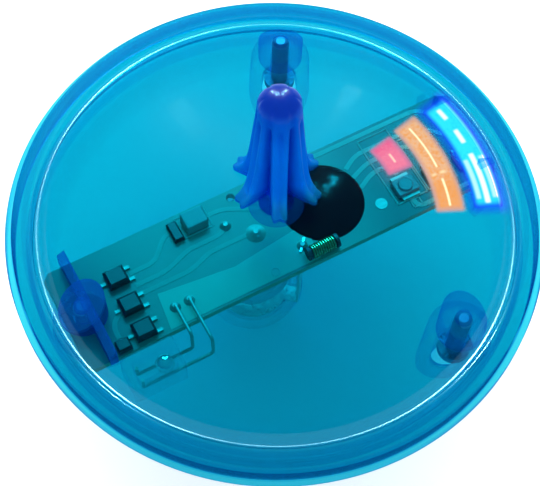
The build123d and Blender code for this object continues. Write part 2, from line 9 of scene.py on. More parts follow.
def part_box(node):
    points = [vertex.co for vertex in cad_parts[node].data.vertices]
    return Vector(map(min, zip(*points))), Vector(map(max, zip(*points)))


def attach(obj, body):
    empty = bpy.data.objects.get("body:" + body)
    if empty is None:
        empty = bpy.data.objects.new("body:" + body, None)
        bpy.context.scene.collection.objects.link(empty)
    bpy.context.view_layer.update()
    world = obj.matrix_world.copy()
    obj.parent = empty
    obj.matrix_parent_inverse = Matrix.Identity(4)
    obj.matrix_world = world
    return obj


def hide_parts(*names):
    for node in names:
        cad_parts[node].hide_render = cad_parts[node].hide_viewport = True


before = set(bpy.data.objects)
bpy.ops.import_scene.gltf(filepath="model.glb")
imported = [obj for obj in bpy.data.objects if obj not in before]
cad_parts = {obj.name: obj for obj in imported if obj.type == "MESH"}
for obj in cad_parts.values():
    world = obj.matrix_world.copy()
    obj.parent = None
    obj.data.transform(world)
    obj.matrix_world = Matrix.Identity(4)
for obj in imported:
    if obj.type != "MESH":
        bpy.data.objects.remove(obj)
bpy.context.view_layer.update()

# ---------------------------------------------------------------- circuit board
# A narrow strip of phenolic board under green solder mask, cut from a panel, with its copper
# under the mask. It lies across the body and is clamped by a screw at one end.
MM = 0.001
board_low, board_high = (np.array(corner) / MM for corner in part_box("circuit_board"))
board_top = board_high[2]
board_half_width = board_high[1]


class Wire:
    """A shader socket. Arithmetic on it adds Math nodes to the material it belongs to."""

    def __init__(self, finish, socket):
        self.finish, self.socket = finish, socket

    def maths(self, operation, *terms):
        return self.finish.node("ShaderNodeMath", {"operation": operation}, dict(enumerate(terms)))

    def __add__(self, other):
        return self.maths("ADD", self, other)

    def __sub__(self, other):
        return self.maths("SUBTRACT", self, other)

    def __rsub__(self, other):
        return self.maths("SUBTRACT", other, self)

    def __mul__(self, other):
        return self.maths("MULTIPLY", self, other)

    def __pow__(self, other):
        return self.maths("POWER", self, other)

    def __abs__(self):
        return self.maths("ABSOLUTE", self)

    __radd__, __rmul__ = __add__, __mul__

    def rise(self, start, end):
        """0 below start and 1 above end, with a smooth step between them."""
        return self.finish.node(
            "ShaderNodeMapRange",
            {"interpolation_type": "SMOOTHSTEP"},
            {"Value": self, "From Min": start, "From Max": end},
        )


class Finish:
    """A material being made, from nodes that are added one by one."""

    def __init__(self, name):
        self.material = bpy.data.materials.new(name)
        self.material.use_nodes = True
        self.tree = self.material.node_tree
        self.tree.nodes.clear()

    def node(self, kind, settings, values, output=0):
        """Adds a node: its settings first, then its sockets' values or links."""
        made = self.tree.nodes.new(kind)
        for key, value in settings.items():
            setattr(made, key, value)
        for key, value in values.items():
            if isinstance(value, Wire):
                self.tree.links.new(value.socket, made.inputs[key])
            elif made.inputs[key].type == "RGBA" and len(value) == 3:
                made.inputs[key].default_value = (*value, 1)
            else:
                made.inputs[key].default_value = value
        return Wire(self, made.outputs[output])

    def place(self, stretch=(1, 1, 1)):
        """The point in millimetres, stretched along each axis."""
        spot = self.node("ShaderNodeTexCoord", {}, {}, "Object")
        return self.node("ShaderNodeMapping", {}, {0: spot, "Scale": [s / MM for s in stretch]})

    def noise(self, size, stretch=(1, 1, 1), detail=3.0):
        """Noise from 0 to 1 whose grains are about size millimetres across."""
        grain = {"Vector": self.place(stretch), "Scale": 1 / size, "Detail": detail}
        return self.node("ShaderNodeTexNoise", {}, grain)

    def mix(self, share, first, second):
        """The colour that is first at share 0 and second at share 1."""
        return self.node("ShaderNodeMix", {"data_type": "RGBA"}, {0: share, 6: first, 7: second}, 2)

    def bump(self, height, depth):
        """A normal for a surface that rises by depth millimetres as height goes from 0 to 1."""
        return self.node("ShaderNodeBump", {}, {"Height": height, "Strength": 1.0, "Distance": depth * MM})

    def solid(self, values):
        """A Principled surface with those sockets."""
        return self.node("ShaderNodeBsdfPrincipled", {}, values)

    def both(self, share, first, second):
        """The shader that is first at share 0 and second at share 1."""
        return self.node("ShaderNodeMixShader", {}, {0: share, 1: first, 2: second})

    def shown(self, surface):
        """Puts the shader on the material's output and returns the material."""
        output = self.tree.nodes.new("ShaderNodeOutputMaterial")
        self.tree.links.new(surface.socket, output.inputs["Surface"])
        return self.material


def dress(material, *nodes):
    """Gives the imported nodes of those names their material."""
    for name in nodes:
        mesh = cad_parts[name].data
        mesh.materials.clear()
        mesh.materials.append(material)


mask = Finish("solder_mask")
weave = mask.noise(0.35, detail=2)
cloud = mask.noise(6, detail=4)
normal = mask.node("ShaderNodeNewGeometry", {}, {}, "Normal")
edge = abs(mask.node("ShaderNodeSeparateXYZ", {}, {0: normal}, 2))
mask_colour = mask.mix(cloud, (0.10, 0.36, 0.29), (0.14, 0.46, 0.35))
mask_colour = mask.mix(weave * 0.2, mask_colour, (0.16, 0.52, 0.40))
along = mask.node("ShaderNodeSeparateXYZ", {}, {0: mask.place()})
# Painted shade: the mask colour darkens to a near-black teal from x 8 to 17 mm onwards, at the lamp end, and
# to a dark teal below x -17 mm, at the clamped end.
mask_colour = mask.mix(along.rise(8, 17) * 0.85, mask_colour, (0.012, 0.05, 0.055))
mask_colour = mask.mix((1 - along.rise(-31, -17)) * 0.6, mask_colour, (0.02, 0.13, 0.14))
mask_colour = mask.mix(edge.rise(0.4, 0.6), (0.45, 0.33, 0.2), mask_colour)
dress(
    mask.shown(
        mask.solid({
            "Base Color": mask_colour,
            "Roughness": weave * 0.15 + 0.28,
            "Normal": mask.bump(weave, 0.01),
        })
    ),
    "circuit_board",
)

# ---------------------------------------------------------------- copper under the mask
# Tracks and a broad supply pour, etched in 35 micrometre copper and covered by the same mask,
# so they only show as a lighter, slightly raised green.


def quads(rows, columns, wrap_rows=False, wrap_columns=True):
    """Faces between neighbours of a grid of points, joined end to start where it wraps."""
    row = np.arange(rows if wrap_rows else rows - 1)[:, None]
    column = np.arange(columns if wrap_columns else columns - 1)[None, :]
    next_row, next_column = (row + 1) % rows, (column + 1) % columns
    corners = [(row, column), (next_row, column), (next_row, next_column), (row, next_column)]
    return np.stack([a * columns + b for a, b in corners], -1).reshape(-1, 4).tolist()


def prism(outline, bottom, top):
    """A flat plate: the outline's points at two heights, a face over each and one for each side."""
    outline = np.array(outline, float)
    count = len(outline)
    points = np.vstack([np.c_[outline, np.full(count, z)] for z in (bottom, top)])
    ends = [list(range(count)), list(range(count, 2 * count))]
    return points, quads(2, count) + ends


def strip(path, width, bottom, top):
    """A track: its path's points moved half the width to each side, at two heights."""
    path = np.array(path, float)
    run = np.gradient(path, axis=0)
    side = np.c_[-run[:, 1], run[:, 0]] / np.linalg.norm(run, axis=1)[:, None] * width / 2
    outline = np.vstack([path + side, (path - side)[::-1]])
    return prism(outline, bottom, top)


def rounded(path, radius, steps=5):
    """A path whose corners are replaced by quadratic curves that start radius before them."""
    path = np.array(path, float)
    middle = path[1:-1]
    back, ahead = path[:-2] - middle, path[2:] - middle
    reach = np.minimum(radius, 0.9 * np.minimum(*(np.linalg.norm(a, axis=1) for a in (back, ahead))))
    start = middle + back / np.linalg.norm(back, axis=1)[:, None] * reach[:, None]
    end = middle + ahead / np.linalg.norm(ahead, axis=1)[:, None] * reach[:, None]
    t = np.linspace(0, 1, steps)[None, :, None]
    curve = (1 - t) ** 2 * start[:, None] + 2 * t * (1 - t) * middle[:, None] + t**2 * end[:, None]
    return np.vstack([path[:1], curve.reshape(-1, 2), path[-1:]])


def piece(name, solids, material, body, stands_for=(), smooth=35):
    """A piece from one or more closed solids in millimetres. Points that meet are merged, faces are
    turned outwards, and edges under smooth degrees are shaded round."""
    counts = np.cumsum([0] + [len(points) for points, _ in solids])
    points = np.vstack([points for points, _ in solids]) * MM
    faces = [[i + start for i in face] for start, (_, group) in zip(counts, solids) for face in group]
    mesh = bpy.data.meshes.new(name)
    mesh.from_pydata(points.tolist(), [], faces)
    shape = bmesh.new()
    shape.from_mesh(mesh)
    bmesh.ops.remove_doubles(shape, verts=shape.verts, dist=1e-7)
    bmesh.ops.recalc_face_normals(shape, faces=shape.faces)
    shape.to_mesh(mesh)
    shape.free()
    mesh.polygons.foreach_set("use_smooth", [True] * len(mesh.polygons))
    mesh.set_sharp_from_angle(angle=radians(smooth))
    mesh.materials.append(material)
    made = bpy.data.objects.new(name, mesh)
    bpy.context.scene.collection.objects.link(made)
    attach(made, body)
    if stands_for:
        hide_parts(*stands_for)
    return made


pour_outline = [(-20.6, -7.75), (3.2, -7.75), (3.7, -1.9), (-8.3, -3.3), (-19.9, -2.0)]
copper_height, track_width, track_round = 0.05, 0.7, 1.2
tracks = [
    [(-22.0, 2.7), (-18.0, 2.7), (-15.0, 5.9), (-12.6, 5.9)],
    [(-8.2, 5.9), (-5.6, 5.8), (-1.0, 3.4), (1.6, 3.4)],
    [(-22.0, 0.6), (-17.2, 0.6), (-13.0, 2.2), (-7.6, 2.2), (-6.5, 3.1)],
    [(-22.0, -0.9), (-14.0, -0.9), (-10.5, 0.4), (-3.2, 0.4)],
    [(13.6, 3.2), (16.0, 4.6), (26.6, 4.6), (30.3, 1.0), (30.3, -1.2)],
    [(13.8, 1.4), (16.8, 2.6), (23.4, 2.6), (25.0, 1.0), (25.0, -1.2)],
    [(14.0, -0.6), (16.6, 0.8), (19.0, 0.8), (19.8, 0.0), (19.8, -1.2)],
    [(19.8, -5.6), (19.8, -7.3), (30.3, -7.3), (30.3, -5.6)],
    [(25.0, -5.6), (25.0, -7.3), (24.0, -7.3)],
    [(-27.5, -5.6), (-27.5, -3.4), (-25.5, -1.9)],
    [(9.0, 6.3), (9.0, 7.3), (28.0, 7.3), (31.6, 4.2)],
]
copper = Finish("masked_copper")
speckle = copper.noise(0.3, detail=2)
copper_colour = copper.mix(copper.noise(4), (0.26, 0.78, 0.58), (0.34, 0.90, 0.68))
copper_material = copper.shown(
    copper.solid({
        "Base Color": copper_colour,
        "Roughness": speckle * 0.12 + 0.25,
        "Normal": copper.bump(speckle, 0.008),
    })
)
piece(
    "board_pour",
    [prism(pour_outline, board_top, board_top + copper_height)],
    copper_material,
    "top",
)
line = Finish("masked_track")
line_speckle = line.noise(0.3, detail=2)
piece(
    "board_tracks",
    [strip(rounded(path, track_round), track_width, board_top, board_top + copper_height) for path in tracks],
    line.shown(
        line.solid({
            "Base Color": line.mix(line.noise(4), (0.15, 0.50, 0.39), (0.20, 0.60, 0.46)),
            "Roughness": line_speckle * 0.12 + 0.25,
            "Normal": line.bump(line_speckle, 0.008),
        })
    ),
    "top",
)

# ---------------------------------------------------------------- pads and screen print
# Bare round pads, tinned, and thin pale outlines printed over the mask.
tinned = Finish("tinned_pad")
pool = tinned.noise(0.5, detail=3)
tinned_material = tinned.shown(
    tinned.solid({
        "Base Color": tinned.mix(pool, (0.20, 0.36, 0.32), (0.30, 0.50, 0.44)),
        "Metallic": 0.4,
        "Roughness": pool * 0.2 + 0.45,
        "Normal": tinned.bump(pool, 0.05),
    })
)
pad_radius, pad_height = 0.9, 1.6 * copper_height


def disc(centre, radius, bottom, top, steps=32):
    """A round plate: a circle's points at two heights."""
    turn = np.linspace(0, 2 * pi, steps, endpoint=False)
    return prism(np.c_[np.cos(turn), np.sin(turn)] * radius + centre, bottom, top)


pad_places = [(15.3, -4.3), (-0.6, 6.6)]
piece(
    "board_pads",
    [disc(place, pad_radius, board_top, board_top + pad_height) for place in pad_places],
    tinned_material,
    "top",
)

print_width = 0.22
boxes = [(17.4, -5.6, 22.4, 6.4), (22.7, -5.6, 27.6, 3.8), (-12.6, 4.0, -8.0, 7.5), (19.3, -7.1, 20.7, -5.9)]
ink = Finish("screen_print")
grit = ink.noise(0.18, detail=2)
ink_material = ink.shown(
    ink.solid({
        "Base Color": ink.mix(grit, (0.30, 0.62, 0.52), (0.42, 0.78, 0.66)),
        "Roughness": grit * 0.2 + 0.5,
        "Normal": ink.bump(grit, 0.01),
    })
)
outline_strips = [
    strip(side, print_width, board_top + copper_height, board_top + 1.6 * copper_height)
    for x0, y0, x1, y1 in boxes
    for side in (
        [(x0, y0), (x1, y0)],
        [(x1, y0), (x1, y1)],
        [(x1, y1), (x0, y1)],
        [(x0, y1), (x0, y0)],
    )
]
piece("board_print", outline_strips, ink_material, "top")

# ---------------------------------------------------------------- chip blob
# The bare chip under a drop of black epoxy that was poured and cured, so it is smooth and glossy
# with a slightly uneven skirt.
epoxy = Finish("black_epoxy")
ripple = epoxy.noise(1.6, detail=2)
dress(
    epoxy.shown(
        epoxy.solid({
            "Base Color": epoxy.mix(ripple, (0.004, 0.004, 0.008), (0.012, 0.012, 0.02)),
            "Roughness": ripple * 0.12 + 0.12,
            "Specular IOR Level": 0.08,
            "Normal": epoxy.bump(ripple, 0.06),
        })
    ),
    "chip_blob",
)

# ---------------------------------------------------------------- lamps and their ends
# Surface-mount lamps: a moulded lens of tinted resin on a white base, on two tinned ends.
lamp_colours = {
    "led_red": (0.95, 0.10, 0.16),
    "led_orange": (1.0, 0.45, 0.08),
    "led_blue": (0.15, 0.4, 1.0),
}
clear_resin = (0.22, 0.36, 0.36)
for lamp, colour in lamp_colours.items():
    resin = Finish(f"{lamp}_resin")
    haze = resin.noise(0.4, detail=2)
    dress(
        resin.shown(
            resin.solid({
                "Base Color": resin.mix(haze * 0.4, clear_resin, colour),
                "Roughness": haze * 0.1 + 0.15,
                "Emission Color": resin.mix(haze, colour, tuple(0.8 * c + 0.2 for c in colour)),
                "Emission Strength": 0.06,
                "Normal": resin.bump(haze, 0.01),
            })
        ),
        lamp,
    )
dress(tinned_material, "led_terminals")

# ---------------------------------------------------------------- small board parts
# Moulded transistors and a diode, a chip resistor, and a ceramic capacitor, soldered by hand.
mould = Finish("moulded_black")
pit = mould.noise(0.15, detail=2)
moulded_material = mould.shown(
    mould.solid({
        "Base Color": mould.mix(pit, (0.012, 0.012, 0.016), (0.035, 0.035, 0.042)),
        "Roughness": pit * 0.2 + 0.32,
        "Normal": mould.bump(pit, 0.015),
    })
)
dress(moulded_material, "driver_transistors", "protection_diode", "timing_resistor", "led_resistors")
dress(tinned_material, "transistor_legs", "switch_leads", "solder_joints")

fired = Finish("fired_ceramic")
grain = fired.noise(0.25)
dress(
    fired.shown(
        fired.solid({
            "Base Color": fired.mix(grain, (0.16, 0.36, 0.34), (0.26, 0.50, 0.46)),
            "Roughness": grain * 0.2 + 0.3,
            "Normal": fired.bump(grain, 0.02),
        })
    ),
    "filter_capacitor",
)

# ---------------------------------------------------------------- boost coil
# A sintered ferrite rod with flanged ends, wound with enamelled copper wire.
sinter = Finish("ferrite")
crumb = sinter.noise(0.12)
dress(
    sinter.shown(
        sinter.solid({
            "Base Color": sinter.mix(crumb, (0.03, 0.03, 0.035), (0.09, 0.09, 0.10)),
            "Roughness": crumb * 0.25 + 0.45,
            "Normal": sinter.bump(crumb, 0.02),
        })
    ),
    "coil_core",
)
enamel = Finish("enamelled_wire")
drawn = enamel.noise(0.3, stretch=(0.2, 1, 1))
dress(
    enamel.shown(
        enamel.solid({
            "Base Color": enamel.mix(drawn, (0.55, 0.22, 0.10), (0.85, 0.45, 0.22)),
            "Metallic": 1.0,
            "Roughness": drawn * 0.15 + 0.22,
            "Normal": enamel.bump(drawn, 0.01),
        })
    ),
    "coil_winding",
)

# ---------------------------------------------------------------- cells and contacts
# Three steel button cells in a stack, with a plated spring and strip below and a plate above.
can = Finish("cell_can")
satin = can.noise(0.2, stretch=(1, 1, 6))
smudge = can.noise(3)
dress(
    can.shown(
        can.solid({
            "Base Color": can.mix(smudge, (0.58, 0.59, 0.60), (0.78, 0.79, 0.80)),
            "Metallic": 1.0,
            "Roughness": satin * 0.15 + smudge * 0.12 + 0.16,
            "Normal": can.bump(satin, 0.004),
        })
    ),
    "cell_bottom",
    "cell_middle",
    "cell_top",
)
plating = Finish("plated_contact")
scuff = plating.noise(0.4, stretch=(1, 1, 0.2))
dress(
    plating.shown(
        plating.solid({
            "Base Color": plating.mix(scuff, (0.55, 0.55, 0.53), (0.80, 0.80, 0.77)),
            "Metallic": 1.0,
            "Roughness": scuff * 0.2 + 0.2,
            "Normal": plating.bump(scuff, 0.01),
        })
    ),
    "battery_spring",
    "lower_contact",
    "upper_contact",
)

# ---------------------------------------------------------------- clear holder and switch box
# Both are moulded in clear polystyrene: sharp and bright at their edges, with a thin haze.


def clear_plastic(
    name, tint, deep_tint, haze, haze_share, edge_power, rings=(), wall_tint=None, roughness=0.03
):
    """Clear moulding. Light goes straight on, tinted, and more so where the wall is seen along its
    length; the rest is a thin coloured haze and a mirror that grows towards the edges. Each ring is
    a stretch of radius where the plastic is thicker, or where a deeper tint paints the shade in a
    joint between walls: its ends, how much deeper the tint is there, and how much more it shines.
    The wall tint is that of an upright rim wall seen edge on: partly the longer path through the
    plastic, partly painted shade for the dark surroundings seen through the wall."""
    clear = Finish(name)
    across = clear.node("ShaderNodeVectorMath", {"operation": "LENGTH"}, {0: clear.place((1, 1, 0))}, 1)
    facing = clear.node("ShaderNodeLayerWeight", {}, {"Blend": 0.5}, "Facing")
    ripples = clear.noise(2.5, detail=2)
    # Painted shade, in part: upright rim walls seen edge on take a deeper navy tint. It stands for the dark
    # surroundings seen through them as well as for the longer path through the plastic.
    if wall_tint:
        edge_on = facing.rise(0.72, 0.95) * across.rise(rim_wall_start, rim_wall_start + 0.2)
        deep_tint = clear.mix(edge_on, deep_tint, wall_tint)
    even = clear.node("ShaderNodeBsdfTransparent", {}, {"Color": tint})
    deep = clear.node("ShaderNodeBsdfTransparent", {}, {"Color": deep_tint})
    thick, shine = facing**edge_power, facing**8 * 0.25 + 0.00005
    matt = roughness
    for start, end, deeper, brighter in rings:
        ring = across.rise(start - 0.08, start + 0.08) * (1 - across.rise(end - 0.08, end + 0.08))
        thick = thick.maths("MAXIMUM", thick, ring * deeper)
        shine = ring * brighter + shine
        matt = ring * 0.13 + matt
    seen = clear.both(thick, even, deep)
    cloudy = clear.solid({
        "Base Color": clear.mix(ripples, haze, tuple(min(1, 1.25 * c) for c in haze)),
        "Roughness": 0.35,
    })
    hazed = clear.both(ripples * 0.5 * haze_share + 0.75 * haze_share, seen, cloudy)
    mirror = clear.node(
        "ShaderNodeBsdfAnisotropic",
        {},
        {"Color": (0.3, 0.75, 1.0), "Roughness": matt, "Normal": clear.bump(ripples, 0.006)},
    )
    return clear.shown(clear.both(shine, hazed, mirror))


holder_material = clear_plastic(
    "clear_styrene", (0.96, 0.99, 0.99), (0.68, 0.88, 0.94), (0.5, 0.85, 0.92), 0.12, 2.0
)
dress(holder_material, "battery_holder", "switch_case", "switch_lid")

steel = Finish("polished_steel")
orange_peel = steel.noise(0.6)
dress(
    steel.shown(
        steel.solid({
            "Base Color": steel.mix(orange_peel, (0.62, 0.63, 0.65), (0.75, 0.76, 0.78)),
            "Metallic": 1.0,
            "Roughness": orange_peel * 0.08 + 0.06,
        })
    ),
    "switch_ball",
    "tip_ball",
)

# ---------------------------------------------------------------- shell screws
# Plated steel tapping screws, driven up from below.
zinc = Finish("zinc_screw")
wear = zinc.noise(0.5)
dress(
    zinc.shown(
        zinc.solid({
            "Base Color": zinc.mix(wear, (0.26, 0.34, 0.42), (0.38, 0.46, 0.55)),
            "Metallic": 0.25,
            "Roughness": wear * 0.2 + 0.35,
            "Normal": zinc.bump(wear, 0.02),
        })
    ),
    "shell_screws",
)

# ---------------------------------------------------------------- lower shell
# A deep round bowl moulded in clear blue plastic, polished, with a flange that wraps the rim, a
# nose for the ball, three screw tubes and a forked rib under the board.
bowl_centre = 43.2
bowl_outer = 42.0
bowl_inner = 40.2
bowl_middle = (bowl_outer + bowl_inner) / 2
flange_radius = 38.6
flange_root = 37.2
flange_low, flange_high = 23.7, 26.9
seat_radius, seat_height = 37.6, 23.95
ball_radius, socket_play = 2.5, 0.05
nose_radius, nose_height, nose_bevel = 4.6, 6.8, 0.4
boss_circle = 30.3
boss_turns = np.radians([60, 180, 300])
boss_places = boss_circle * np.c_[np.cos(boss_turns), np.sin(boss_turns)]
fine_steps, small_steps = 256, 64


def arc(centre, radius, start, end, steps):
    """Points on a circle from one angle to another, in degrees."""
    turn = np.radians(np.linspace(start, end, steps))
    return np.c_[np.cos(turn), np.sin(turn)] * radius + centre


def sphere_arc(centre_height, radius, start, end, steps, sign):
    """Points (radius, height) on a ball centred on the axis, from one radius to another."""
    out = np.linspace(asin(start / radius), asin(end / radius), steps)
    return np.c_[radius * np.sin(out), centre_height + sign * radius * np.cos(out)]


def turned(profile, steps=small_steps, centre=(0, 0)):
    """A closed outline of (radius, height) points turned about an upright line at centre."""
    turn = np.linspace(0, 2 * pi, steps, endpoint=False)[None, :]
    radius, height = profile[:, 0][:, None], profile[:, 1][:, None]
    points = np.stack(
        [radius * np.cos(turn) + centre[0], radius * np.sin(turn) + centre[1], height + 0 * turn], -1
    )
    return points.reshape(-1, 3), quads(len(profile), steps, wrap_rows=True)


def wall(x_range, y_stations, bottom, top):
    """An upright wall along Y: a rectangle carried along it, its bottom and top set at each point."""
    y = np.array(y_stations, float)
    x0, x1 = (np.full(len(y), x) for x in x_range)
    low, high = (np.broadcast_to(np.array(edge, float), y.shape) for edge in (bottom, top))
    ring = [(x0, low), (x1, low), (x1, high), (x0, high)]
    points = np.stack([np.stack([x, y, z], -1) for x, z in ring], 1).reshape(-1, 3)
    last = len(y) * 4 - 4
    return points, quads(len(y), 4) + [[0, 1, 2, 3], [last, last + 1, last + 2, last + 3]]


def on_bowl(solid):
    """The solid with whatever is under the middle of the bowl's wall lifted to it."""
    points, faces = solid
    lowest = bowl_centre - np.sqrt(bowl_middle**2 - (points[:, :2] ** 2).sum(1))
    return np.c_[points[:, :2], np.maximum(points[:, 2], lowest)], faces


cavity = arc((0, ball_radius), ball_radius + socket_play, -29.5, 90, 24)
outer_wall = sphere_arc(bowl_centre, bowl_outer, cavity[0, 0] + 0.05, flange_root, 72, -1)
inner_wall = sphere_arc(
    bowl_centre, bowl_inner, nose_radius, sqrt(bowl_inner**2 - (bowl_centre - seat_height) ** 2), 72, -1
)
nose_top = np.array([
    (0.001, nose_height),
    (nose_radius - nose_bevel, nose_height),
    (nose_radius, nose_height - nose_bevel),
])
flange = np.vstack([
    arc((flange_radius - 0.5, flange_low + 0.5), 0.5, -75, 0, 6),
    arc((flange_radius - 0.4, flange_high - 0.4), 0.4, 0, 90, 6),
    [(seat_radius + 0.15, flange_high), (seat_radius, flange_high - 0.15), (seat_radius, seat_height)],
])
bowl_profile = np.vstack([cavity[::-1], outer_wall, flange, inner_wall[::-1], nose_top[::-1]])

tube_base, tube_foot = 4.85, 12.0
tube_top = board_low[2]
tube_draft = tan(radians(1.5))
head_bore, head_seat, clear_bore = 2.8, 18.5, 1.5
tube_rim = tube_base - (tube_top - tube_foot) * tube_draft
tube_profile = np.vstack([
    np.c_[np.linspace(head_bore, tube_base, 6), np.full(6, tube_foot)],
    [(tube_rim + 0.2 * tube_draft, tube_top - 0.2), (tube_rim - 0.2, tube_top), (clear_bore, tube_top)],
    [(clear_bore, head_seat), (head_bore, head_seat)],
])
fork_gap, fork_tab, fork_top, rib_x, rib_half = 0.15, 1.0, 25.0, 30.4, 0.6
fork_inner = board_half_width + fork_gap
fork_outer = fork_inner + fork_tab
rib_y = np.linspace(-fork_inner, fork_inner, 25)
rib_sides = (rib_x - rib_half, rib_x + rib_half)

rim_wall_start = 34.3
blue_clear = clear_plastic(
    "clear_blue",
    (0.19, 0.74, 0.815),
    (0.0, 0.45, 0.72),
    (0.0, 0.25, 0.72),
    0.005,
    3.4,
    # The last ring deepens the tint in the gap where the dome's rim sits on the bowl's seat: a painted shade
    # line in the joint.
    rings=[(32.6, 34.9, 0.0, 0.06), (35.2, 36.0, 0.35, 0.0), (37.45, 37.75, 0.6, 0.02)],
    # Navy on the rim walls seen edge on: partly painted shade for the dark surroundings, partly the longer
    # path through the plastic.
    wall_tint=(0.0, 0.08, 0.45),
    roughness=0.06,
)
bowl = piece(
    "shell_bowl",
    [turned(bowl_profile, fine_steps)],
    blue_clear,
    "top",
    stands_for=("lower_shell",),
)
below_bowl, cutter_top = 8.0, head_seat - 0.5
cutter_profile = np.array([
    (0.001, below_bowl),
    (head_bore, below_bowl),
    (head_bore, cutter_top),
    (0.001, cutter_top),
])
cutter = piece(
    "bore_cutter",
    [turned(cutter_profile, small_steps, place) for place in boss_places],
    blue_clear,
    "top",
)
cut = bowl.modifiers.new("bores", "BOOLEAN")
cut.operation, cut.object, cut.solver = "DIFFERENCE", cutter, "EXACT"
bpy.context.view_layer.update()
drilled = bpy.data.meshes.new_from_object(bowl.evaluated_get(bpy.context.evaluated_depsgraph_get()))
bowl.modifiers.clear()
bowl.data = drilled
bpy.data.objects.remove(cutter)

piece(
    "bowl_tubes",
    [on_bowl(turned(tube_profile, small_steps, place)) for place in boss_places]
    + [
        on_bowl(wall(rib_sides, y_stations, tube_foot, top))
        for y_stations, top in (
            (rib_y, tube_top),
            ([fork_inner, fork_outer], fork_top),
            ([-fork_outer, -fork_inner], fork_top),
        )
    ],
    # Painted light: the tubes and rib get a far lighter copy of the shells' blue plastic, so they show
    # brighter than the bowl around them.
    clear_plastic("clear_blue_tube", (0.88, 0.97, 0.99), (0.4, 0.80, 0.96), (0.0, 0.42, 0.90), 0.06, 2.0),
    "top",
)

# ---------------------------------------------------------------- upper shell
# A shallow dome inside a raised rim, in the same clear blue plastic. Its posts, cross wall, two
# ribs and the stem's socket hang from its underside.
dome_centre = -22.3
dome_outer, dome_inner = 60.0, 58.5
dome_middle = (dome_outer + dome_inner) / 2
rim_radius, rim_top, rim_foot = 37.5, 28.5, 24.0
rim_inner, lip_inner, groove_radius = 35.0, 34.6, 34.0
spigot_radius = 2.5
dome_edge = dome_centre + sqrt(dome_outer**2 - groove_radius**2)
lip_round = 0.55


def under_dome(solid):
    """The solid with whatever is above the middle of the dome's wall lowered to it."""
    points, faces = solid
    highest = dome_centre + np.sqrt(dome_middle**2 - (points[:, :2] ** 2).sum(1))
    return np.c_[points[:, :2], np.minimum(points[:, 2], highest)], faces


groove_start = groove_radius - 1.6
groove_path = [
    (groove_start, dome_centre + sqrt(dome_outer**2 - groove_start**2)),
    (groove_radius + 0.25, dome_edge - 0.2),
    (lip_inner + 0.1, rim_top - lip_round + 0.1),
]
rim = np.vstack([
    rounded(groove_path, 2.2, 15)[1:-1],
    arc((lip_inner + lip_round, rim_top - lip_round), lip_round, 170, 90, 8),
    arc((rim_radius - lip_round, rim_top - lip_round), lip_round, 90, 0, 8),
    [(rim_radius, rim_foot + 0.15), (rim_radius - 0.15, rim_foot), (rim_inner, rim_foot)],
])
dome_profile = np.vstack([
    sphere_arc(dome_centre, dome_outer, spigot_radius, groove_start, 80, 1),
    rim,
    sphere_arc(dome_centre, dome_inner, rim_inner, spigot_radius, 80, 1),
])
piece(
    "shell_dome",
    [turned(dome_profile, fine_steps)],
    blue_clear,
    "top",
    stands_for=("upper_shell",),
)

post_radius, pilot_radius, pilot_depth = 3.4, 1.15, 4.6
hidden_top = 40.0


def post(foot):
    """Outline of a screw post with its pilot hole, from its foot up past the dome."""
    return np.vstack([
        [(pilot_radius, foot), (post_radius - 0.2, foot), (post_radius, foot + 0.2)],
        np.c_[np.linspace(post_radius, 0.001, 8), np.full(8, hidden_top)],
        [(0.001, tube_top + pilot_depth), (pilot_radius, tube_top + pilot_depth)],
    ])


socket_wall_radius, socket_foot = 4.0, 31.6
socket_profile = np.vstack([
    [(spigot_radius, socket_foot), (socket_wall_radius - 0.15, socket_foot)],
    [(socket_wall_radius, socket_foot + 0.15)],
    np.c_[np.linspace(socket_wall_radius, spigot_radius, 4), np.full(4, hidden_top)],
])
cross_x, cross_half, cross_reach = -29.6, 0.6, 8.7
hold_x, hold_half, hold_y, hold_thick = 32.0, 1.3, 6.2, 0.5
hold_sides = (hold_x - hold_half, hold_x + hold_half)
# Painted light: the two posts beside the board, the stem's socket and the hold ribs get a lighter copy of the
# shells' blue plastic, so they show pale and bright.
lit_post_plastic = clear_plastic(
    "clear_blue_posts_lit", (0.75, 0.93, 0.99), (0.12, 0.58, 0.94), (0.0, 0.27, 0.80), 0.10, 1.5
)
over_board, beside_board = boss_places[1:2], boss_places[[0, 2]]
piece(
    "board_clamp",
    [under_dome(turned(post(board_top), small_steps, place)) for place in over_board]
    + [
        under_dome(
            wall(
                (cross_x - cross_half, cross_x + cross_half),
                np.linspace(-cross_reach, cross_reach, 25),
                board_top,
                hidden_top,
            )
        )
    ],
    # Painted shade: the post over the board and the cross wall get a cloudier, deeper royal-blue copy of the
    # shells' plastic, so they show darker than the other posts.
    clear_plastic("clear_blue_clamp_shaded", (0.6, 0.90, 0.99), (0.05, 0.42, 0.90), (0.0, 0.2, 0.88), 0.36, 1.3),
    "top",
)
piece(
    "dome_posts",
    [under_dome(turned(post(tube_top), small_steps, place)) for place in beside_board]
    + [under_dome(turned(socket_profile))]
    + [
        under_dome(wall(hold_sides, [y - hold_thick, y + hold_thick], board_top, hidden_top))
        for y in (hold_y, -hold_y)
    ],
    lit_post_plastic,
    "top",
)

# ---------------------------------------------------------------- finger stem
# A solid royal-blue moulding pressed into the dome: six rounded fins run up from blades on the
# dome to a plain rounded cap.
stem_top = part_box("stem")[1].z / MM
fin_count, fin_angle, fin_width, core_radius = 6, radians(5), 2.2, 2.2
flute_depth, flute_half = 0.32, 0.45
fin_foot, cap_radius, cap_foot = 6.4, 2.9, 56.2
spigot_foot = 32.2
stem_stations, stem_steps = 110, 360
fin_rounding = 9.0


def soft_least(a, b, sharpness):
    """The lesser of two arrays, rounded where they cross: a power mean of large negative power."""
    return (a**-sharpness + b**-sharpness) ** (-1 / sharpness)


def soft_most(a, b, sharpness):
    """The greater of two arrays, rounded where they cross."""
    return (a**sharpness + b**sharpness) ** (1 / sharpness)


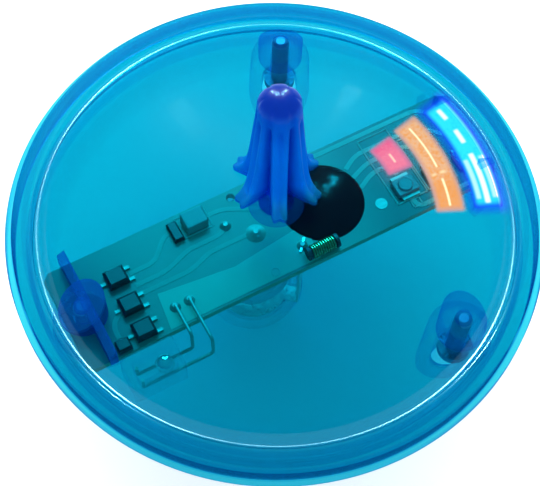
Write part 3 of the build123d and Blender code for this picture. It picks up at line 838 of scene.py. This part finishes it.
t = np.linspace(0, 1, 200)[:, None]
bend = np.array([(fin_foot, 38.2), (3.8, 39.4), (4.2, 45.0), (3.4, 50.0), (cap_radius, cap_foot)])
weights = np.hstack([
    (1 - t) ** 4,
    4 * t * (1 - t) ** 3,
    6 * t**2 * (1 - t) ** 2,
    4 * t**3 * (1 - t),
    t**4,
])
flare = weights @ bend
cap_height = stem_top - cap_foot
cap_stations = 24
height = np.r_[
    np.linspace(37.0, cap_foot, stem_stations - cap_stations),
    cap_foot + cap_height * np.sin(np.linspace(0.05, pi / 2, cap_stations)),
]
reach = np.interp(height, flare[:, 1], flare[:, 0])
cap_share = np.clip((height - cap_foot) / cap_height, 0, 1)
reach = reach * np.sqrt(np.clip(1 - cap_share**2, 1e-6, 1))
turn = np.linspace(0, 2 * pi, stem_steps, endpoint=False)[None, :]
from_fin = np.abs((turn - fin_angle + pi / fin_count) % (2 * pi / fin_count) - pi / fin_count)
side = (fin_width / 2) / np.sin(np.maximum(from_fin, 0.02))
fade = np.clip((height - 53.6) / 2.2, 0, 1)[:, None]
fade = fade**2 * (3 - 2 * fade)
core = core_radius * (1 - fade) + 0.999 * reach[:, None] * fade
flute = flute_depth * np.exp(-((reach[:, None] * np.sin(from_fin) / flute_half) ** 2)) * (1 - fade)
fin_end = np.maximum(reach[:, None] - flute, 0.001)
ring = soft_least(fin_end, soft_most(side, core, fin_rounding), fin_rounding)
ring = np.minimum(ring, reach[:, None])
stem_x, stem_y = ring * np.cos(turn), ring * np.sin(turn)
floor = dome_centre + np.sqrt(dome_outer**2 - ring**2)
stem_z = np.maximum(height[:, None] + 0 * turn, floor)
stem_points = np.stack([stem_x, stem_y, stem_z], -1).reshape(-1, 3)
stem_faces = quads(stem_stations, stem_steps) + [list(range(stem_steps))]
stem_faces.append(list(range(stem_points.shape[0] - stem_steps, stem_points.shape[0])))
spigot = np.array([(0.001, spigot_foot), (spigot_radius, spigot_foot), (spigot_radius, 37.6), (0.001, 37.6)])

royal = Finish("royal_blue")
swirl = royal.noise(2.0)
royal_facing = royal.node("ShaderNodeLayerWeight", {}, {"Blend": 0.5}, "Facing")
royal_deep = royal.node("ShaderNodeBsdfTransparent", {}, {"Color": (0.0, 0.46, 0.96)})
royal_height = royal.node("ShaderNodeSeparateXYZ", {}, {0: royal.place()}, 2)
from_axis = royal.node("ShaderNodeVectorMath", {"operation": "LENGTH"}, {0: royal.place((1, 1, 0))}, 1)
# Painted shade and light: the colour is darkest near the axis, in the valleys between the fins, and lighter
# out on the fins' ridges.
royal_colour = royal.mix(from_axis.rise(2.3, 3.7), (0.0, 0.035, 0.46), (0.0, 0.17, 0.80))
# Painted light: the wide feet of the fins turn a pale cyan, standing for light caught in the thin blades.
royal_colour = royal.mix(from_axis.rise(4.2, 6.0), royal_colour, (0.0, 0.42, 0.90))
# Painted sheen: the colour pales towards a lighter blue where the surface is seen at a grazing angle.
royal_dull = royal.solid({
    "Base Color": royal.mix(royal_facing**3 * 0.5, royal_colour, (0.0, 0.2, 0.85)),
    "Roughness": swirl * 0.06 + 0.3,
    "Specular IOR Level": 0.04,
    "Normal": royal.bump(swirl, 0.06),
})
royal_mirror = royal.node(
    "ShaderNodeBsdfAnisotropic",
    {},
    {"Color": (0.2, 0.7, 1.0), "Roughness": 0.14, "Normal": royal.bump(swirl, 0.06)},
)
royal_body = royal.both(royal_facing**4 * 0.05 + 0.008, royal_dull, royal_mirror)
royal_share = royal_height.rise(37.2, 41.0) * 0.66 + swirl * 0.08 + 0.12
piece(
    "finger_stem",
    [(stem_points, stem_faces), turned(spigot)],
    royal.shown(royal.both(royal_share, royal_deep, royal_body)),
    "top",
    stands_for=("stem",),
    smooth=50,
)

# ---------------------------------------------------------------- light traces
# What the three lamps draw in the air as the top turns: thin glowing arcs about the spin axis,
# just above the lamps. They are light, not matter, and each is a thin closed sheet.
trace_height = board_top + 1.06
trace_thickness = 0.04


def trace(name, radius, body_width, halo, start, end, lines, colours, strength):
    """An arc of light. The sheet is a ring sector, wider than the bright body by its halo; its map
    runs along the arc from start to end and across it, and the lines are smooth bands on that map:
    from and to in degrees, place across the body and half width in millimetres, and brightness."""
    body, border, core, low_end = colours
    width = body_width + 2 * halo
    along = np.linspace(start, end, 97)
    across = np.linspace(-width / 2, width / 2, 9)
    angle, offset = np.meshgrid(along, across, indexing="ij")
    flat = np.stack([
        (radius + offset) * np.cos(np.radians(angle)),
        (radius + offset) * np.sin(np.radians(angle)),
    ], -1).reshape(-1, 2)
    count = len(flat)
    points = np.vstack([np.c_[flat, np.full(count, trace_height + z)] for z in (0, trace_thickness)])
    under = quads(97, 9, wrap_columns=False)
    over = [[i + count for i in face[::-1]] for face in under]
    grid = np.arange(count).reshape(97, 9)
    border_loop = np.r_[grid[:-1, 0], grid[-1, :-1], grid[:0:-1, -1], grid[0, :0:-1]]
    following = np.roll(border_loop, -1)
    rims = np.stack([border_loop, following, following + count, border_loop + count], -1).tolist()
    glow = Finish(f"{name}_glow")
    spot = glow.node("ShaderNodeUVMap", {}, {})
    u = glow.node("ShaderNodeSeparateXYZ", {}, {0: spot}, 0)
    v = glow.node("ShaderNodeSeparateXYZ", {}, {0: spot}, 1)
    degrees_along = u * (end - start) + start
    sideways = (v - 0.5) * width
    half_width = body_width / 2
    margin = degrees(halo / radius)
    first, last = start + margin, end - margin
    from_end = degrees_along.rise(first, first + 2.4) * (1 - degrees_along.rise(last - 2.4, last))
    streaks = glow.noise(0.5, detail=2)
    body_share = (1 - abs(sideways).rise(0.55 * half_width, half_width)) * from_end
    streaky = glow.mix(streaks.rise(0.35, 0.75) * 0.8, body, low_end)
    streaky = glow.mix((1 - degrees_along.rise(first + 8, first + 16)) * 0.7, streaky, low_end)
    colour = glow.mix(body_share * (streaks * 0.3 + 0.85), border, streaky)
    for low, high, middle, half, share in lines:
        band = degrees_along.rise(low - 0.5, low + 0.5) * (1 - degrees_along.rise(high - 0.5, high + 0.5))
        thin = 1 - abs(sideways - middle).rise(half * 0.3, half * 1.9)
        colour = glow.mix(band * thin * share, colour, core)
    solid_share = 1 - abs(sideways).rise(0.8 * half_width, half_width + 0.25)
    solid_share = solid_share * degrees_along.rise(first - 0.8, first + 1.2)
    solid_share = solid_share * (1 - degrees_along.rise(last - 1.2, last + 0.8))
    faint = (1 - abs(sideways).rise(0.6 * half_width, width / 2)) * 0.45
    faint = faint * degrees_along.rise(start, first + 1) * (1 - degrees_along.rise(last - 1, end))
    light = glow.node("ShaderNodeEmission", {}, {"Color": colour, "Strength": strength})
    nothing = glow.node("ShaderNodeBsdfTransparent", {}, {"Color": (1, 1, 1)})
    material = glow.shown(glow.both(solid_share.maths("MAXIMUM", solid_share, faint), nothing, light))
    made = piece(name, [(points, under + over + rims)], material, "top")
    layer = made.data.uv_layers.new(name="UVMap")
    corner = np.zeros(len(made.data.loops), int)
    made.data.loops.foreach_get("vertex_index", corner)
    place = np.zeros(len(made.data.vertices) * 3)
    made.data.vertices.foreach_get("co", place)
    place = place.reshape(-1, 3) / MM
    turned_by = np.degrees(np.arctan2(place[:, 1], place[:, 0]))
    out = np.hypot(place[:, 0], place[:, 1])
    uv = np.c_[(turned_by - start) / (end - start), (out - radius) / width + 0.5]
    layer.data.foreach_set("uv", uv[corner].ravel())
    made.visible_shadow = False
    return made


trace(
    "trace_blue", 31.1, 4.4, 1.6, -27.0, 14.8,
    [(-22.4, -6.8, 0, 0.32, 1.0), (-2.9, 1.6, 0, 0.3, 1.0), (5.8, 9.4, 0, 0.3, 1.0),
     (-21.0, -8.2, 1.2, 0.3, 0.45), (-21.0, -8.2, -1.2, 0.3, 0.45)],
    ((0.8, 1.35, 1.3), (0.2, 0.09, 1.2), (26.0, 1.9, 1.7), (0.5, 1.1, 1.2)), 1.3,
)
trace(
    "trace_orange", 25.5, 4.2, 0.45, -25.4, 13.4,
    [(-22.4, -12.0, 0, 0.15, 1.0), (-7.4, 9.8, 0, 0.13, 1.0), (-10.2, -9.2, 0.45, 0.4, 0.5),
     (-10.4, -9.5, -0.9, 0.3, 0.45)],
    ((27.0, 1.0, 0.44), (18.0, 0.75, 0.55), (34.0, 2.1, 1.0), (27.0, 0.68, 0.13)), 1.0,
)
trace(
    "trace_red", 20.3, 4.0, 0.4, -4.9, 12.9,
    [(0.8, 5.4, 0, 0.15, 1.0)],
    ((25.0, 0.20, 0.44), (16.0, 0.40, 0.60), (32.0, 1.3, 0.9), (27.0, 0.48, 0.60)), 1.0,
)

# ---------------------------------------------------------------- floor, light and camera
# A plain white table, an even pale sky, a soft fill, and four strip lights that only shine in the
# polished surfaces. The camera looks down at 63 degrees.
table = bpy.data.meshes.new("table")
half = 3.0
corners = [(-half, -half, 0), (half, -half, 0), (half, half, 0), (-half, half, 0)]
table.from_pydata(corners, [], [(0, 1, 2, 3)])
table_object = bpy.data.objects.new("table", table)
bpy.context.scene.collection.objects.link(table_object)
white = Finish("white_table")
fleck = white.noise(8)
table.materials.append(
    white.shown(
        white.solid({
            "Base Color": white.mix(fleck, (0.80, 0.80, 0.80), (0.83, 0.83, 0.83)),
            "Roughness": 0.6,
            "Emission Color": (1, 1, 1),
            "Emission Strength": 0.5,
        })
    )
)

world = bpy.data.worlds.new("studio")
world.use_nodes = True
world.node_tree.nodes["Background"].inputs["Color"].default_value = (0.96, 0.98, 1.0, 1)
world.node_tree.nodes["Background"].inputs["Strength"].default_value = 0.85
bpy.context.scene.world = world

azimuth, elevation, roll = radians(-30.1), radians(62.87), radians(1.88)
distance, side_shift, up_shift, lens = 183.2, -0.806, -4.217, 85.87
aim = Vector((0, 0, rim_top))
back = Vector((sin(-azimuth) * -cos(elevation), -cos(azimuth) * cos(elevation), sin(elevation)))
right = Vector((cos(azimuth), sin(azimuth), 0))
up = back.cross(right)
tilted_right = cos(roll) * right + sin(roll) * up
tilted_up = -sin(roll) * right + cos(roll) * up


def softbox(name, size, direction, far, power):
    """A rectangular light that faces the top from a direction, far millimetres away."""
    lamp = bpy.data.lights.new(name, "AREA")
    lamp.shape, lamp.size, lamp.size_y, lamp.energy = "RECTANGLE", size[0] * MM, size[1] * MM, power
    made = bpy.data.objects.new(name, lamp)
    made.location = (aim + direction.normalized() * far) * MM
    made.rotation_euler = (-direction).to_track_quat("-Z", "Y").to_euler()
    bpy.context.scene.collection.objects.link(made)
    return made


def seen_from_camera(across, ahead, high):
    """A direction from its parts to the camera's right, away from it and upwards."""
    return right * across + Vector((-sin(azimuth), cos(azimuth), 0)) * ahead + Vector((0, 0, high))


fill = softbox("back_light", (700, 300), seen_from_camera(0, 0.9, 0.45), 500, 1.5)
fill.visible_glossy = False
for strip_name, strip_width, power, direction in (
    ("left_strip", 60, 13, seen_from_camera(0.26, 0.86, 0.44)),
    ("right_strip", 80, 17, seen_from_camera(-0.372, 0.79, 0.487)),
    ("high_left_strip", 110, 9, seen_from_camera(0.136, 0.674, 0.728)),
    ("high_right_strip", 170, 14, seen_from_camera(-0.173, 0.648, 0.742)),
):
    shine_light = softbox(strip_name, (strip_width, 300), direction, 900, power)
    shine_light.visible_diffuse = False

eye = bpy.data.cameras.new("camera")
eye.lens, eye.sensor_width, eye.clip_start = lens, 36.0, 0.01
camera = bpy.data.objects.new("camera", eye)
spot = aim + back * distance + tilted_right * side_shift + tilted_up * up_shift
turn_matrix = Matrix((tilted_right, tilted_up, back)).transposed().to_4x4()
camera.matrix_world = Matrix.Translation(spot * MM) @ turn_matrix
bpy.context.scene.collection.objects.link(camera)
bpy.context.scene.camera = camera

bpy.context.scene.view_settings.view_transform = "Standard"
bpy.context.scene.cycles.transparent_max_bounces = 48
bpy.context.scene.cycles.max_bounces = 12
